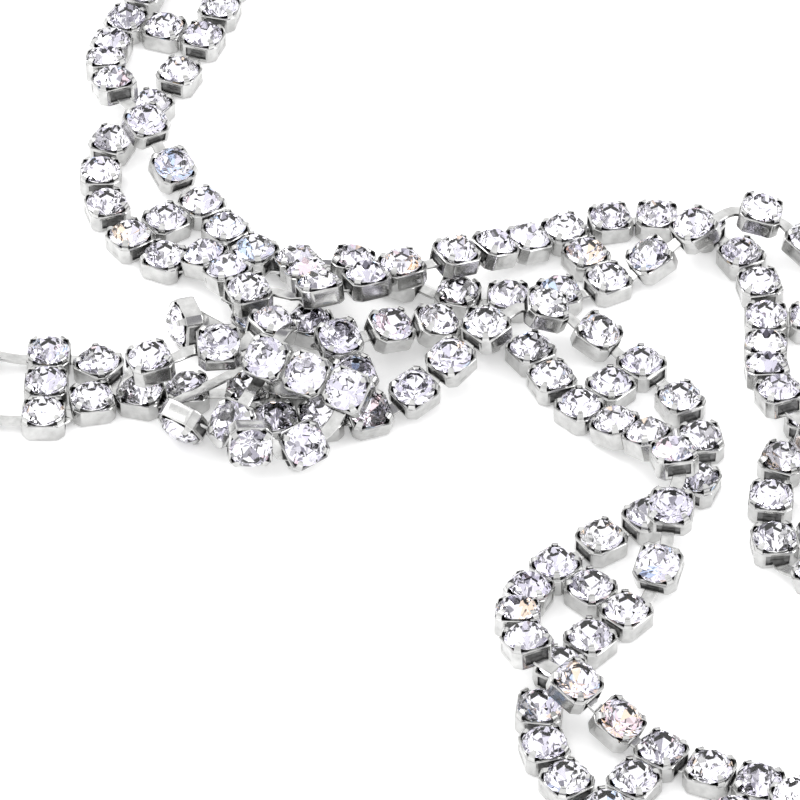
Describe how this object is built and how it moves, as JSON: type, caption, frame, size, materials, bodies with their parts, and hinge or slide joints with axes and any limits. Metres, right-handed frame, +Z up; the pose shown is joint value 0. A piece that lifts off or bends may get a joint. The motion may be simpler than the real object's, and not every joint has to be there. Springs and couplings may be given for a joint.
{
  "type": "riviera necklace",
  "caption": "Two strands of square-cup stone chain that cross again and again, joined by short soldered bars, laid flat in curves with one loose knot.",
  "frame": {"origin": "centre of the outline of the whole necklace, on the surface it lies on", "axes": "+Z up; the necklace lies in the XY plane, with the open end and its clasp towards -X and the knot near the middle"},
  "size_m": [0.1786, 0.1996, 0.0088],
  "materials": {
    "rhodium_plate": "polished bright silver-coloured plate over brass",
    "crystal": "clear cut crystal with a silver foil back"
  },
  "bodies": {
    "root": {"bar_01": "rhodium_plate", "bar_02": "rhodium_plate", "bar_03": "rhodium_plate", "bar_04": "rhodium_plate", "bar_05": "rhodium_plate", "bar_06": "rhodium_plate", "bar_07": "rhodium_plate", "bar_08": "rhodium_plate", "bar_09": "rhodium_plate", "bar_10": "rhodium_plate", "bar_11": "rhodium_plate", "bar_12": "rhodium_plate", "bar_13": "rhodium_plate", "bar_14": "rhodium_plate", "bar_15": "rhodium_plate", "bar_16": "rhodium_plate", "bar_17": "rhodium_plate", "bar_18": "rhodium_plate", "bar_19": "rhodium_plate", "bar_20": "rhodium_plate", "strand_a_01": "rhodium_plate", "strand_b_01": "rhodium_plate", "strand_b_02": "rhodium_plate", "strand_a_02": "rhodium_plate", "strand_a_03": "rhodium_plate", "strand_b_03": "rhodium_plate", "strand_b_04": "rhodium_plate", "strand_a_04": "rhodium_plate", "strand_b_05": "rhodium_plate", "strand_a_05": "rhodium_plate", "strand_a_06": "rhodium_plate", "strand_b_06": "rhodium_plate", "strand_b_07": "rhodium_plate", "strand_a_07": "rhodium_plate", "strand_a_08": "rhodium_plate", "strand_b_08": "rhodium_plate", "strand_b_09": "rhodium_plate", "strand_a_09": "rhodium_plate", "strand_a_10": "rhodium_plate", "strand_b_10": "rhodium_plate", "strand_b_11": "rhodium_plate", "strand_a_11": "rhodium_plate", "strand_a_12": "rhodium_plate", "strand_b_12": "rhodium_plate", "strand_b_13": "rhodium_plate", "strand_a_13": "rhodium_plate", "strand_a_14": "rhodium_plate", "strand_b_14": "rhodium_plate", "strand_a_15": "rhodium_plate", "strand_b_15": "rhodium_plate", "strand_b_16": "rhodium_plate", "strand_a_16": "rhodium_plate", "strand_a_17": "rhodium_plate", "strand_b_17": "rhodium_plate", "strand_b_18": "rhodium_plate", "strand_a_18": "rhodium_plate", "strand_a_19": "rhodium_plate", "strand_b_19": "rhodium_plate", "clasp": "rhodium_plate"}
  },
  "joints": []
}
